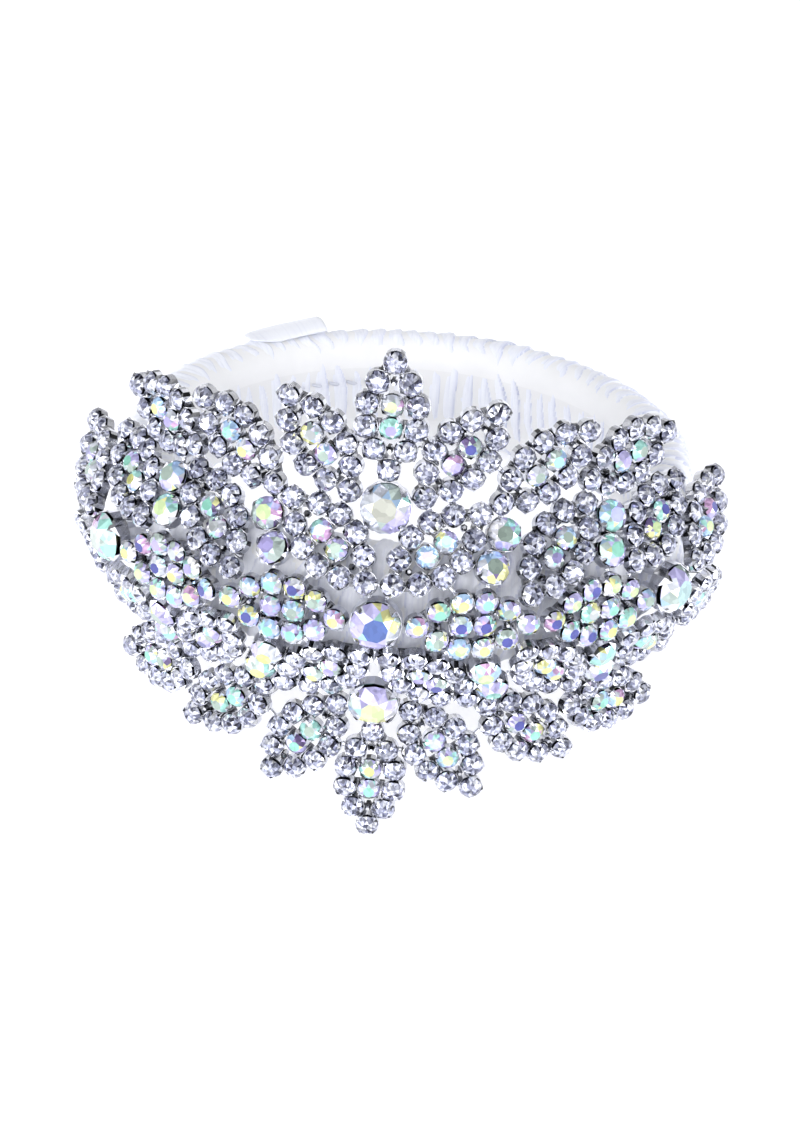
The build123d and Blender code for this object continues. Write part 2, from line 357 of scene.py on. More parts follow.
@dataclass(frozen=True)
class StoneFinish:
    """Foiled cut glass: facet colours holding painted glints and dark reflections, broken into shards painted
    lighter and darker, under a hard gloss.
    """

    name: str
    cells: float
    darkest: float
    lightest: float
    metal: float
    roughness: float
    coat: float = 0.6
    coat_roughness: float = 0.03
    bump: float = 0.25
    bump_depth: float = 0.00005
    index: float = 1.55

    def material(self, shards: NodeTree) -> Material:
        """Builds the material.

        Args:
            shards: The group of shards.

        Returns:
            The material.
        """
        material, sheet, shader = blank_material(self.name)
        facet = sheet.add("ShaderNodeVertexColor", layer_name="facet")
        inner = sheet.add("ShaderNodeGroup", {"Cells": self.cells, "Darkest": self.darkest,
                                              "Lightest": self.lightest}, node_tree=shards)
        bump = sheet.add("ShaderNodeBump", {"Strength": self.bump, "Distance": self.bump_depth})
        sheet.join((facet, "Color", inner, "Facet"),
                   (inner, "Color", shader, "Base Color"),
                   (inner, "Height", bump, "Height"),
                   (bump, "Normal", shader, "Normal"))
        fill(shader, {"Metallic": self.metal, "Roughness": self.roughness, "Coat Weight": self.coat,
                      "Coat Roughness": self.coat_roughness, "IOR": self.index})
        return material


@dataclass(frozen=True)
class SilverFinish:
    """Bright silver plate, mottled at random, times face colours that paint shade and dark reflections into
    its cups, wires and posts.
    """

    name: str = "Silver plate"
    light: tuple = (0.88, 0.89, 0.93, 1)
    dark: tuple = (0.62, 0.63, 0.7, 1)
    smooth: float = 0.1
    rough: float = 0.34
    mottle_scale: float = 900.0
    takes_painted_shade: bool = True

    def material(self, mottle: NodeTree) -> Material:
        """Builds the material.

        Args:
            mottle: The group of soft mottle.

        Returns:
            The material.
        """
        material, sheet, shader = blank_material(self.name)
        wear = sheet.add("ShaderNodeGroup", {"Light": self.light, "Dark": self.dark,
                                             "Scale": self.mottle_scale, "Smooth": self.smooth,
                                             "Rough": self.rough}, node_tree=mottle)
        # painted shade and painted reflections come in with the face colours
        colour = times_facet(sheet, wear, "Color") if self.takes_painted_shade else (wear, "Color")
        sheet.join((*colour, shader, "Base Color"), (wear, "Roughness", shader, "Roughness"))
        fill(shader, {"Metallic": 1.0})
        return material


@dataclass(frozen=True)
class ClothFinish:
    """White cloth: soft mottle, fine creases along the piece's own UV map that bump the surface and are
    painted darker as their shade, and a sheen.
    """

    name: str
    light: tuple
    dark: tuple
    sheen: float
    smooth: float
    rough: float
    crease_scale: float = 0.0
    crease_stretch: float = 0.06
    crease_shade: tuple = (0.78, 0.8, 0.9, 1)
    mottle_scale: float = 260.0
    bump: float = 0.5
    bump_depth: float = 0.0001

    def material(self, mottle: NodeTree) -> Material:
        """Builds the material.

        Args:
            mottle: The group of soft mottle.

        Returns:
            The material.
        """
        material, sheet, shader = blank_material(self.name)
        cloth = sheet.add("ShaderNodeGroup", {"Light": self.light, "Dark": self.dark,
                                              "Scale": self.mottle_scale, "Smooth": self.smooth,
                                              "Rough": self.rough}, node_tree=mottle)
        bump = sheet.add("ShaderNodeBump", {"Strength": self.bump, "Distance": self.bump_depth})
        colour, height = (cloth, "Color"), (cloth, "Height")
        if self.crease_scale:
            cut = sheet.add("ShaderNodeUVMap", uv_map="winding")
            scale = (self.crease_scale, self.crease_scale * self.crease_stretch, 1)
            stretch = sheet.add("ShaderNodeMapping", {"Scale": scale})
            creases = sheet.add("ShaderNodeTexNoise", {"Scale": 1.0, "Detail": 5.0, "Roughness": 0.65})
            # painted shade: the cloth's colour goes towards a pale lavender along the crease noise
            tone = sheet.add("ShaderNodeMix", {"B": self.crease_shade}, data_type="RGBA")
            dip = sheet.add("ShaderNodeMapRange", {"From Min": 0.5, "From Max": 0.75})
            sheet.join((cut, 0, stretch, "Vector"),
                       (stretch, 0, creases, "Vector"),
                       (creases, 0, dip, "Value"),
                       (dip, 0, tone, "Factor"),
                       (*colour, tone, "A"))
            colour, height = times_facet(sheet, tone, "Result"), (creases, 0)
        sheet.join((*colour, shader, "Base Color"),
                   (cloth, "Roughness", shader, "Roughness"),
                   (*height, bump, "Height"),
                   (bump, "Normal", shader, "Normal"))
        fill(shader, {"Sheen Weight": self.sheen})
        return material


class Finishes:
    """Every material of the ring, built once."""

    def __init__(self) -> None:
        """Builds the two groups and the materials that use them."""
        shards, mottle = sparkle_group(), mottle_group()
        # painted glints: the clear shards run from far darker to lighter than their face, the rainbow ones
        # less far
        self.crystal = StoneFinish("Clear crystal", 3400.0, 0.27, 1.26, 0.55, 0.07).material(shards)
        self.rainbow = StoneFinish("Rainbow crystal", 1300.0, 0.8, 1.15, 0.5, 0.06).material(shards)
        self.silver = SilverFinish().material(mottle)
        self.wire = SilverFinish(name="Silver wire", takes_painted_shade=False).material(mottle)
        self.satin = ClothFinish("Satin ribbon", (0.94, 0.955, 1.0, 1), (0.88, 0.9, 0.975, 1),
                                 0.35, 0.32, 0.5, crease_scale=3.2).material(mottle)
        self.thread = ClothFinish("Sewing thread", (0.8, 0.81, 0.88, 1), (0.6, 0.62, 0.72, 1),
                                  0.2, 0.4, 0.6).material(mottle)
        self.wadding = ClothFinish("Wadding", (0.95, 0.95, 0.95, 1), (0.85, 0.85, 0.86, 1),
                                   0.5, 0.8, 0.95).material(mottle)
        self.strip = ClothFinish("White plastic strip", (0.9, 0.9, 0.9, 1), (0.82, 0.82, 0.83, 1),
                                 0.0, 0.3, 0.45).material(mottle)


# ---------------------------------------------------------------- the hoop
@dataclass
class WoundHoop:
    """The padded hoop as it looks: ribbon wound round it in overlapping turns, millimetres."""

    space: HoopSpace
    middle_r: float = 27.0
    half_thickness: float = 3.12
    half_height: float = 6.5
    squareness: float = 2.7
    turns: int = 84
    turn_rise: float = 0.58
    samples_per_turn: int = 11
    samples_round: int = 88
    slant: float = -0.6
    wavers: tuple = ((0.16, 3, 9), (0.1, 5, -17))
    step_width: float = 0.07
    fall_power: float = 0.7
    pleat: float = 0.06
    pleats_per_turn: float = 3.0
    # painted shade in the ribbon's grooves and pleat hollows, tinted lavender
    groove_shade: float = 0.34
    groove_width: float = 0.11
    pleat_shade: float = 0.5
    shade_tint: tuple = (1.0, 0.95, 0.55)
    end_bearing: float = 115.0
    end_span: float = 19.0
    end_tuck: float = 0.4
    end_spread: float = 1.6
    end_offset: float = 1.2
    end_crown: float = 0.4
    end_lift: float = 0.7
    end_thickness: float = 0.12
    rng: np.random.Generator = field(default_factory=lambda: np.random.default_rng(SEED))

    def section(self, angle: np.ndarray) -> tuple:
        """A rounded box section: cosine and sine, each raised to two over the squareness.

        Args:
            angle: Angle round the section, from the outside upwards.

        Returns:
            Distance outwards and height, as shares of one.
        """
        power = 2 / self.squareness
        return (np.sign(np.cos(angle)) * np.abs(np.cos(angle)) ** power,
                np.sign(np.sin(angle)) * np.abs(np.sin(angle)) ** power)

    def build(self, material: Material) -> Object:
        """Winds the ribbon.

        The surface is the section carried round the hoop, sunk by what a turn lacks of its full rise.
        A turn steps up sharply at its edge and falls away under the next: one minus a fast exponential,
        times one minus the way across the turn to a power.  Edges slant, and waver by slow waves, each a
        height, a count round the section and a count round the hoop.  Shade is painted into the cloth's
        colour in the groove beside each edge and in the hollows of the pleats.

        Args:
            material: The satin.

        Returns:
            The ribbon with its loose end.
        """
        rows, columns = self.turns * self.samples_per_turn, self.samples_round
        around = (np.arange(rows) / rows)[:, None] * np.ones(columns)[None, :]
        angle = (np.arange(columns) / columns * 2 * pi)[None, :] * np.ones(rows)[:, None]
        waver = sum(size * np.sin(section * angle + 2 * pi * hoop * around)
                    for size, section, hoop in self.wavers)
        phase = around * self.turns + self.slant * np.sin(angle) + waver
        turn = np.floor(phase).astype(int) % self.turns
        across = phase - np.floor(phase)
        lift = self.rng.uniform(0.6, 1.0, self.turns)[turn]
        rise = lift * (1 - np.exp(-across / self.step_width)) * (1 - across) ** self.fall_power
        pleats = self.pleat * np.sin(
            2 * pi * (across * self.pleats_per_turn + self.rng.uniform(0, 1, self.turns)[turn]))
        sink = self.turn_rise * (1 - rise - pleats)
        out, up = self.section(angle)
        bearing = around * 2 * pi
        radius = self.middle_r + (self.half_thickness - sink) * out
        points = turned(radius, bearing, (self.half_height - sink) * up)
        faces = grid_faces(rows, columns, True, True)
        wrap = self.space.place(points.reshape(-1, 3))
        # painted shade: darker in the groove beside each turn's edge and in the pleats' hollows
        shade = (self.groove_shade * np.exp(-across / self.groove_width) * lift
                 + self.pleat_shade * np.maximum(-pleats, 0))
        tints = 1 - shade.reshape(-1, 1) * np.array(self.shade_tint)
        end_points, end_faces = self.loose_end()
        shell = Shell.joined([Shell(wrap, faces.tolist(), tints),
                              Shell(end_points, end_faces, np.ones((len(end_faces), 3)))])
        piece = add_piece("satin_wrap", shell, material, smooth=True)
        self.map_winding(piece, rows, columns)
        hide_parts("ribbon_wrap", "ribbon_end")
        return piece

    def map_winding(self, piece: Object, rows: int, columns: int) -> None:
        """Gives the ribbon a UV map in millimetres: round the hoop, then round the section.

        The way round the section is a box's outline, less a fifth for its rounded corners.

        Args:
            piece: The ribbon.
            rows: Rows of the wound grid.
            columns: Columns of the wound grid.
        """
        mesh = piece.data
        corner = np.zeros(len(mesh.loops), np.int64)
        mesh.loops.foreach_get("vertex_index", corner)
        place = corner % (rows * columns)
        across = (place // columns) / rows * 2 * pi * self.middle_r
        along = (place % columns) / columns * 4 * (self.half_thickness + self.half_height) * 0.8
        layer = mesh.uv_layers.new(name="winding")
        layer.data.foreach_set("uv", np.stack([across, along], 1).astype(np.float32).ravel())

    def loose_end(self) -> tuple:
        """The ribbon's cut end: a thin curved strip along the top of the band, rising off it at its tip.

        It widens from a narrow tucked end by a square root, crowns across its width and lifts towards
        its cut edge.

        Returns:
            Its points in metres and its faces.
        """
        columns, rows = 24, 9
        way = np.linspace(0, 1, columns)[:, None] * np.ones(rows)[None, :]
        across = np.linspace(-1, 1, rows)[None, :] * np.ones(columns)[:, None]
        bearing = np.radians(self.end_bearing + self.end_span * way)
        width = self.end_tuck + self.end_spread * np.minimum(1, (1 - way) * 3) ** 0.5
        radius = self.middle_r + self.end_offset + across * width
        height = (self.half_height - self.end_crown * (across * width / 2) ** 2 + 0.1
                  + self.end_lift * (1 - way) ** 1.5)
        top = turned(radius, bearing, height).reshape(-1, 3)
        under = top - np.array([0, 0, self.end_thickness])
        upper = grid_faces(columns, rows, False, False)
        lower = upper[:, ::-1] + len(top)
        edge = np.concatenate([np.arange(rows), np.arange(1, columns) * rows + rows - 1,
                               (columns - 1) * rows + np.arange(rows - 2, -1, -1),
                               np.arange(columns - 2, 0, -1) * rows])
        after = np.roll(edge, -1)
        side = np.stack([edge, after, after + len(top), edge + len(top)], 1)
        faces = np.concatenate([upper[:, ::-1], lower[:, ::-1], side[:, ::-1]])
        return self.space.place(np.concatenate([top, under])), faces.tolist()


@dataclass
class Stitching:
    """The row of short stitches inside the band, millimetres."""

    space: HoopSpace
    face_r: float = 23.88
    count: int = 7
    pitch: float = 2.0
    length: float = 1.1
    thread_r: float = 0.2
    height: float = 1.4
    first_bearing: float = 100.0
    ends_sunk: float = 0.25
    bow: float = 0.23
    skew: float = 0.3
    samples: int = 7

    def build(self, material: Material) -> None:
        """Each stitch is a bowed tube: its middle stands off the wall by a parabola and its ends dip in.

        Args:
            material: The thread.
        """
        shells = []
        for i in range(self.count):
            middle = radians(self.first_bearing) + i * self.pitch / self.face_r
            way = np.linspace(-0.5, 0.5, self.samples)
            bearing = middle + way * self.length / self.face_r
            radius = self.face_r + self.ends_sunk - self.bow * (1 - (2 * way) ** 2)
            path = turned(radius, bearing, self.height + way * self.skew)
            points, faces = tube(path, self.thread_r, self.samples)
            shells.append(Shell(self.space.place(points), faces, np.ones((len(faces), 3))))
        piece = add_piece("inner_stitches", Shell.joined(shells), material, smooth=True)
        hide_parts("wrap_stitches")


# ---------------------------------------------------------------- the applique
@dataclass(frozen=True)
class StoneSize:
    """One stock size of stone and its cup: radii and heights above the back of the cup."""

    stone_r: float
    cup_r: float
    rim: float
    crown: float


SMALL = StoneSize(1.12, 1.18, 1.2, 0.55)
MEDIUM = StoneSize(1.6, 1.69, 1.5, 0.8)
BIG = StoneSize(2.46, 2.55, 1.8, 1.2)
PITCH = 2.35
PAIR_HALF = 1.69
BACK_DEPTH = SMALL.rim + SMALL.crown
SIDES, ROWS = (("left", -1), ("right", 1)), (("upper", 1), ("lower", -1))


class Cut(Enum):
    """Which glass a stone is cut from."""

    CLEAR = "clear"
    RAINBOW = "rainbow"


@dataclass(frozen=True)
class Tones:
    """Facet colours and how often each comes up."""

    colours: tuple
    odds: tuple

    def draw(self, rng: np.random.Generator, count: int) -> np.ndarray:
        """Draws colours.

        Args:
            rng: The seeded draws.
            count: How many.

        Returns:
            An array of colours, one for each facet.
        """
        odds = np.array(self.odds, float)
        return np.array(self.colours)[rng.choice(len(odds), count, p=odds / odds.sum())]


# painted glints and reflections: the greys, from near white to near black, that clear faceted glass shows
CLEAR_PAINTED_GLINTS = Tones(((0.9, 0.92, 1.0), (0.74, 0.76, 0.88), (0.53, 0.55, 0.7), (0.37, 0.39, 0.53),
                     (0.23, 0.24, 0.36), (0.1, 0.11, 0.18), (0.02, 0.02, 0.05)), (16, 18, 22, 17, 13, 8, 6))
TABLE_TONES = Tones(((0.75, 0.77, 0.3), (0.6, 0.75, 0.4), (0.07, 0.08, 0.33), (0.3, 0.68, 0.55),
                     (0.34, 0.43, 0.38), (0.42, 0.38, 0.72), (0.58, 0.62, 0.64)),
                    (18, 16, 16, 16, 14, 10, 10))
# the coating's rainbow hues, with a painted glint in the near white and a painted dark reflection in the near
# black
CROWN_TONES = Tones(((0.52, 0.49, 0.8), (0.4, 0.58, 0.82), (0.38, 0.72, 0.65), (0.42, 0.51, 0.48),
                     (0.6, 0.63, 0.7), (0.93, 0.93, 0.97), (0.55, 0.34, 0.56), (0.78, 0.78, 0.36),
                     (0.14, 0.1, 0.24)), (22, 12, 14, 14, 14, 9, 4, 8, 4))


TABLE_R, STAR_R, CULET_R = 0.5, 0.78, 0.3      # shares of the stone's radius
STAR_RISE, CULET_RISE = 0.62, 0.3              # shares of the crown and of the rim's height
# painted light on the cups: the greys a cup's side may take, the darkest a painted reflection of something
# dark in the plate
CUP_PAINTED_SHADES = (1.0, 0.85, 0.5, 0.06)
CUP_ODDS, BIG_CUP_ODDS = (0.54, 0.27, 0.12, 0.07), (0.7, 0.3, 0.0, 0.0)
BIG_TABLES = {"middle": (0.08, 0.14, 0.4), "upper": (0.36, 0.37, 0.33), "lower": (0.68, 0.8, 0.42),
              "left": (0.58, 0.66, 0.62), "right": (0.4, 0.58, 0.6)}


class Lapidary:
    """Cuts stones and forms cups."""

    def __init__(self) -> None:
        """Starts the seeded draws."""
        self.rng = np.random.default_rng(SEED + 1)

    def stone(self, size: StoneSize, cut: Cut, tone: Optional[tuple] = None) -> Shell:
        """A round cut stone: an eight-sided table, stars, kites and girdle facets over a blunt back.

        Rings of 1, 8, 8, 16 and 8 points at falling heights are joined by triangles; the table and
        the kites are split so that each half can take its own colour.

        Args:
            size: Its stock size.
            cut: Which glass.
            tone: Its table's colour, if it is chosen.

        Returns:
            The stone about its own axis, millimetres.
        """
        radius, rim, crown = size.stone_r, size.rim, size.crown
        half = pi / 8
        points = np.concatenate([
            [[0, 0, rim + crown]], ring(radius * TABLE_R, rim + crown, 8),
            ring(radius * STAR_R, rim + crown * STAR_RISE, 8, half),
            ring(radius, rim, 16), ring(radius * CULET_R, rim * CULET_RISE, 8)])
        k, after = np.arange(8), (np.arange(8) + 1) % 8
        table, star, girdle, back = 1 + k, 9 + k, 17 + np.arange(16), 33 + k
        even, odd, next_even = 17 + 2 * k, 17 + 2 * k + 1, 17 + (2 * k + 2) % 16
        faces = np.concatenate([
            np.stack([np.zeros(8, int), table, 1 + after], 1),
            np.stack([table, star, 1 + after], 1),
            np.stack([table, even, star], 1), np.stack([1 + after, star, next_even], 1),
            np.stack([star, even, odd], 1), np.stack([star, odd, next_even], 1)]).tolist()
        faces += np.stack([even, back, odd], 1).tolist() + np.stack([odd, back, 33 + after], 1).tolist()
        faces += np.stack([odd, 33 + after, next_even], 1).tolist() + [back[::-1].tolist()]
        return Shell(points, faces, self.facet_colours(cut, tone))

    def facet_colours(self, cut: Cut, tone: Optional[tuple] = None) -> np.ndarray:
        """Colours in the order of a stone's faces.

        Clear glass takes a new grey on every face, painted glints and dark reflections.  Rainbow glass has
        one colour over the whole table; a kite may keep the colour of the kite before it, and the small
        facets mostly follow their kite.  The rainbow colours are the coating's hues with painted glints and
        dark reflections among them.

        Args:
            cut: Which glass.
            tone: The table's colour; drawn if it is left out.

        Returns:
            A colour for each face.
        """
        if cut is Cut.CLEAR:
            return CLEAR_PAINTED_GLINTS.draw(self.rng, 73)
        table = np.repeat([tone] if tone else TABLE_TONES.draw(self.rng, 1), 8, axis=0)
        kites = CROWN_TONES.draw(self.rng, 8)
        for i in np.flatnonzero(self.rng.uniform(size=8) < 0.4):
            kites[i] = kites[i - 1]

        def follow(odds: float) -> np.ndarray:
            """The kites' colours, some drawn anew."""
            kept = (self.rng.uniform(size=8) < odds)[:, None]
            return np.where(kept, kites, CROWN_TONES.draw(self.rng, 8))
        return np.concatenate([table, follow(0.5), kites, np.roll(kites, -1, axis=0),
                               follow(0.7), follow(0.7), CROWN_TONES.draw(self.rng, 25)])

    def cup(self, size: StoneSize) -> Shell:
        """A claw cup: a low wall whose rim rises to four claws that bend in over the stone.

        Rows go from the back, up the wall, over the rim and down inside; at every fourth column
        the two rim rows are raised and the upper one is drawn in.  Some sides of the smaller cups are
        painted near black, a painted reflection of something dark in the bright plate; the rows down
        inside the cup and its floor are painted dark as shade.

        Args:
            size: The stock size it holds.

        Returns:
            The cup about its own axis, millimetres.
        """
        columns = 16
        claw = (np.arange(columns) % 4 == 2).astype(float)
        outer, rim, crown = size.cup_r, size.rim, size.crown
        wall = outer - size.stone_r
        rows = ((outer * 0.72, 0), (outer, rim * 0.18),                                 # back, wall's foot
                (outer + 0.1 * claw, rim * (0.8 + 0.2 * claw)),                         # rim, outside
                (outer - wall * 0.9 - claw * outer * 0.14, rim * 0.8 + claw * (rim * 0.2 + crown * 0.62)),
                (size.stone_r * 0.96, rim * 0.78 + claw * (rim * 0.2 + crown * 0.4)),   # under the claws
                (size.stone_r * 0.5, rim * 0.35))                                       # floor
        angle = np.arange(columns) * 2 * pi / columns
        points = np.concatenate([turned(radius, angle, height) for radius, height in rows])
        quads = grid_faces(len(rows), columns, False, True)[:, ::-1]
        # painted reflection: some sides near black; painted shade: each side darker towards the back, the
        # rows inside the cup far darker
        sides = self.rng.choice(CUP_PAINTED_SHADES, (3, columns), p=BIG_CUP_ODDS if size is BIG else CUP_ODDS)
        shade = np.concatenate([(sides * [[0.8], [0.95], [1.0]]).ravel(), np.repeat([0.3, 0.12], columns)])
        faces = quads.tolist() + [list(range(columns - 1, -1, -1)), list(range(5 * columns, 6 * columns))]
        # painted shade: the back of the cup a little darker, its floor near black
        tints = np.concatenate([shade, [0.8, 0.1]])[:, None] * np.ones(3)
        return Shell(points, faces, tints)


@dataclass(frozen=True)
class Spot:
    """A place on the applique: bearing and height on the side profile, turned from level."""

    bearing: float
    height: float
    turn: float = 0.0


@dataclass(frozen=True)
class Seat:
    """Axes on the backs of the cups, in hoop millimetres."""

    origin: np.ndarray
    across: np.ndarray
    along: np.ndarray
    normal: np.ndarray

    def place(self, points: np.ndarray) -> np.ndarray:
        """Origin plus each coordinate along its axis."""
        return self.origin + points @ np.stack([self.across, self.along, self.normal])


@dataclass
class Applique:
    """Leaves, pairs and big stones over an oval plan with a leaning side profile, millimetres."""

    space: HoopSpace
    finishes: Finishes
    plan_a: float = 34.4
    plan_b: float = 32.7
    plan_z: float = 0.2
    lean_heights: tuple = (0.0, 3.1, 6.3, 9.4, 12.5, 16.7, 29.0)
    leans: tuple = (0.0, 11.0, 34.0, 27.0, 7.0, 0.0, 7.0)
    crest_height: float = 20.4
    top_big_height: float = 11.4
    end_bearing: float = 54.9
    leaves: dict = field(default_factory=lambda: {
        "heart": Spot(9.4, 7.85, 40), "fan": Spot(13.3, 16.7, 53), "wing": Spot(30.0, 15.0, 36),
        "shoulder": Spot(31.7, 7.3, 47), "plume": Spot(50.0, 14.3, 12), "flank": Spot(54.5, 7.5, 32),
        "cheek": Spot(69.3, 4.8, 31)})
    middle: dict = field(default_factory=lambda: {"inner": 15.75, "outer": 38.7})
    pairs: dict = field(default_factory=lambda: {
        "inner": (Spot(18.8, 5.85), Spot(21.5, 9.4)), "outer": (Spot(41.7, 6.1), Spot(43.5, 9.3))})
    crystals: tuple = ((0, -2.3), (0, 2.3), (0.65, -1.44), (-0.65, -1.44), (0.65, 1.44), (-0.65, 1.44),
                       (1.03, -0.5), (-1.03, -0.5), (1.03, 0.5), (-1.03, 0.5))
    hearts: tuple = ((0, -0.5), (0, 0.5))
    beads: tuple = ((0, -1.44, 0.36), (0, 1.44, 0.36), (0.57, -0.86, 0.2), (-0.57, -0.86, 0.2),
                    (0.57, 0.86, 0.2), (-0.57, 0.86, 0.2))
    wires: tuple = ((0, 2), (2, 6), (6, 8), (8, 4), (4, 1), (1, 5), (5, 9), (9, 7), (7, 3), (3, 0),
                    (10, 11), (6, 10), (7, 10), (8, 11), (9, 11))

    def __post_init__(self) -> None:
        """Adds up the side profile and opens the trays that stones are gathered in."""
        self.steps = np.linspace(0, self.lean_heights[-1], 1200)
        lean = np.radians(np.interp(self.steps, self.lean_heights, self.leans))
        size = self.steps[1] - self.steps[0]
        self.inset = np.concatenate([[0], np.cumsum(np.sin(lean[:-1]) * size)])
        self.rise = np.concatenate([[0], np.cumsum(np.cos(lean[:-1]) * size)])
        self.lapidary = Lapidary()
        self.rng = np.random.default_rng(SEED + 2)
        self.trays = {name: [] for name in ("crystals_upper", "crystals_lower", "stones_iridescent",
                                            "stones_medium", "stones_big")}

    def seat(self, spot: Spot, side: int = 1, row: int = 1) -> Seat:
        """Axes at a place: the oval plan drawn in by the profile's inset, then leaned and turned.

        Args:
            spot: The place on the right upper quarter.
            side: 1 for right, -1 for its mirror on the left.
            row: 1 for above the middle row, -1 for its mirror below.

        Returns:
            The seat on the backs of the cups.
        """
        inset = np.interp(spot.height, self.steps, self.inset)
        rise = np.interp(spot.height, self.steps, self.rise)
        lean, angle = radians(np.interp(spot.height, self.lean_heights, self.leans)), radians(spot.bearing)
        half_a, half_b = self.plan_a - inset, self.plan_b - inset
        face = np.array([side * half_a * sin(angle), -half_b * cos(angle), self.plan_z + row * rise])
        level = np.array([side * half_a * cos(angle), half_b * sin(angle), 0])
        outward = np.array([side * half_b * sin(angle), -half_a * cos(angle), 0])
        level, outward = level / np.linalg.norm(level), outward / np.linalg.norm(outward)
        up = np.array([0, 0, float(row)])
        rising = up * cos(lean) - outward * sin(lean)
        normal = outward * cos(lean) + up * sin(lean)
        along = level * cos(radians(spot.turn)) + rising * sin(radians(spot.turn))
        return Seat(face - normal * BACK_DEPTH, np.cross(along, normal), along, normal)

    def set_stone(self, tray: str, seat: Seat, centre: tuple, size: StoneSize, cut: Cut,
                  tone: Optional[tuple] = None) -> None:
        """Cuts a stone, turns and tips it a little as a hand-set stone lies, and puts it in its tray.

        Args:
            tray: The node that the stone belongs to.
            seat: The seat of its setting.
            centre: Its centre across and along the seat.
            size: Its stock size.
            cut: Which glass.
            tone: Its table's colour, if it is chosen.
        """
        stone = self.lapidary.stone(size, cut, tone)
        spin, tip = self.rng.uniform(0, 2 * pi), self.rng.normal(0, radians(4.0), 2)
        pivot = np.array([0, 0, size.rim])
        turn = np.array(Matrix.Rotation(tip[0], 3, "X") @ Matrix.Rotation(tip[1], 3, "Y")
                        @ Matrix.Rotation(spin, 3, "Z"))
        points = (stone.points - pivot) @ turn.T + pivot + np.array([*centre, 0])
        self.trays[tray].append(Shell(self.space.place(seat.place(points)), stone.faces, stone.tints))

    def flat_wire(self, start: tuple, end: tuple, width: float = 1.2, thickness: float = 0.3) -> Shell:
        """A flat soldered wire between two cups: a box from centre to centre.

        Args:
            start: First centre.
            end: Second centre.
            width: Width of the wire.
            thickness: Its thickness above the backs of the cups.

        Returns:
            The wire, millimetres.
        """
        a, b = np.array(start), np.array(end)
        way = (b - a) / np.linalg.norm(b - a)
        beside = np.array([-way[1], way[0]]) * width / 2
        corners = np.array([a - beside, b - beside, b + beside, a + beside])
        points = np.concatenate([np.c_[corners, np.full(4, 0.02)], np.c_[corners, np.full(4, thickness)]])
        faces = [[3, 2, 1, 0], [4, 5, 6, 7], [0, 1, 5, 4], [1, 2, 6, 5], [2, 3, 7, 6], [3, 0, 4, 7]]
        # painted shade: the wire is drawn dark grey, as it lies in shade under the cups
        return Shell(points, faces, np.full((6, 3), 0.3))

    def bead(self, x: float, y: float, radius: float) -> Shell:
        """A post of solder and claw ends between stones: a six-sided stub that narrows to a small top."""
        points = np.concatenate([ring(radius, 0.1, 6), ring(radius, 0.9, 6, 0.3), ring(radius * 0.5, 1.3, 6)])
        faces = grid_faces(3, 6, False, True)[:, ::-1].tolist()
        faces += [list(range(5, -1, -1)), list(range(12, 18))]
        # painted reflection and shade: faces drawn at random from bright to near black, for dark things
        # mirrored and shade between the stones
        tints = self.rng.choice([1.0, 0.7, 0.3, 0.05], len(faces), p=[0.4, 0.25, 0.2, 0.15])
        return Shell(points + np.array([x, y, 0]), faces, tints[:, None] * np.ones(3))

    def set_cups(self, node: str, seat: Seat, size: StoneSize, centres: list, wires: tuple = (),
                 beads: tuple = ()) -> None:
        """Makes one setting: a claw cup at each centre and the wires between them.

        Args:
            node: The CAD node that it stands for.
            seat: Its seat.
            size: Its stock size.
            centres: Centres across and along the seat.
            wires: Pairs of cups that a wire joins.
            beads: Places and radii of solder between the cups.
        """
        shells = []
        for centre in centres:
            cup = self.lapidary.cup(size)
            shells.append(Shell(cup.points + np.array([*centre, 0]), cup.faces, cup.tints))
        shells += [self.flat_wire(centres[i], centres[j]) for i, j in wires]
        shells += [self.bead(x * PITCH, y * PITCH, radius) for x, y, radius in beads]
        shell = Shell.joined(shells)
        shell.points = self.space.place(seat.place(shell.points))
        piece = add_piece("claws_" + node, shell, self.finishes.silver)
        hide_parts(node)

    def leaf(self, name: str, seat: Seat, row: int) -> None:
        """A leaf of twelve cups: clear stones round two iridescent ones, all iridescent in the middle row.

        Args:
            name: Its name after "leaf_".
            seat: Its seat.
            row: 1, -1 or 0 for the middle row.
        """
        outline = [(x * PITCH, y * PITCH) for x, y in self.crystals]
        inside = [(x * PITCH, y * PITCH) for x, y in self.hearts]
        self.set_cups("leaf_" + name, seat, SMALL, outline + inside, self.wires, self.beads)
        tray = {1: "crystals_upper", -1: "crystals_lower", 0: "stones_iridescent"}[row]
        for centre in outline:
            self.set_stone(tray, seat, centre, SMALL, Cut.CLEAR if row else Cut.RAINBOW)
        for centre in inside:
            self.set_stone("stones_iridescent", seat, centre, SMALL, Cut.RAINBOW)

    def big(self, name: str, seat: Seat, tone: tuple) -> None:
        """One big iridescent stone, its table in the given colour."""
        self.set_cups("setting_" + name, seat, BIG, [(0, 0)])
        self.set_stone("stones_big", seat, (0, 0), BIG, Cut.RAINBOW, tone)

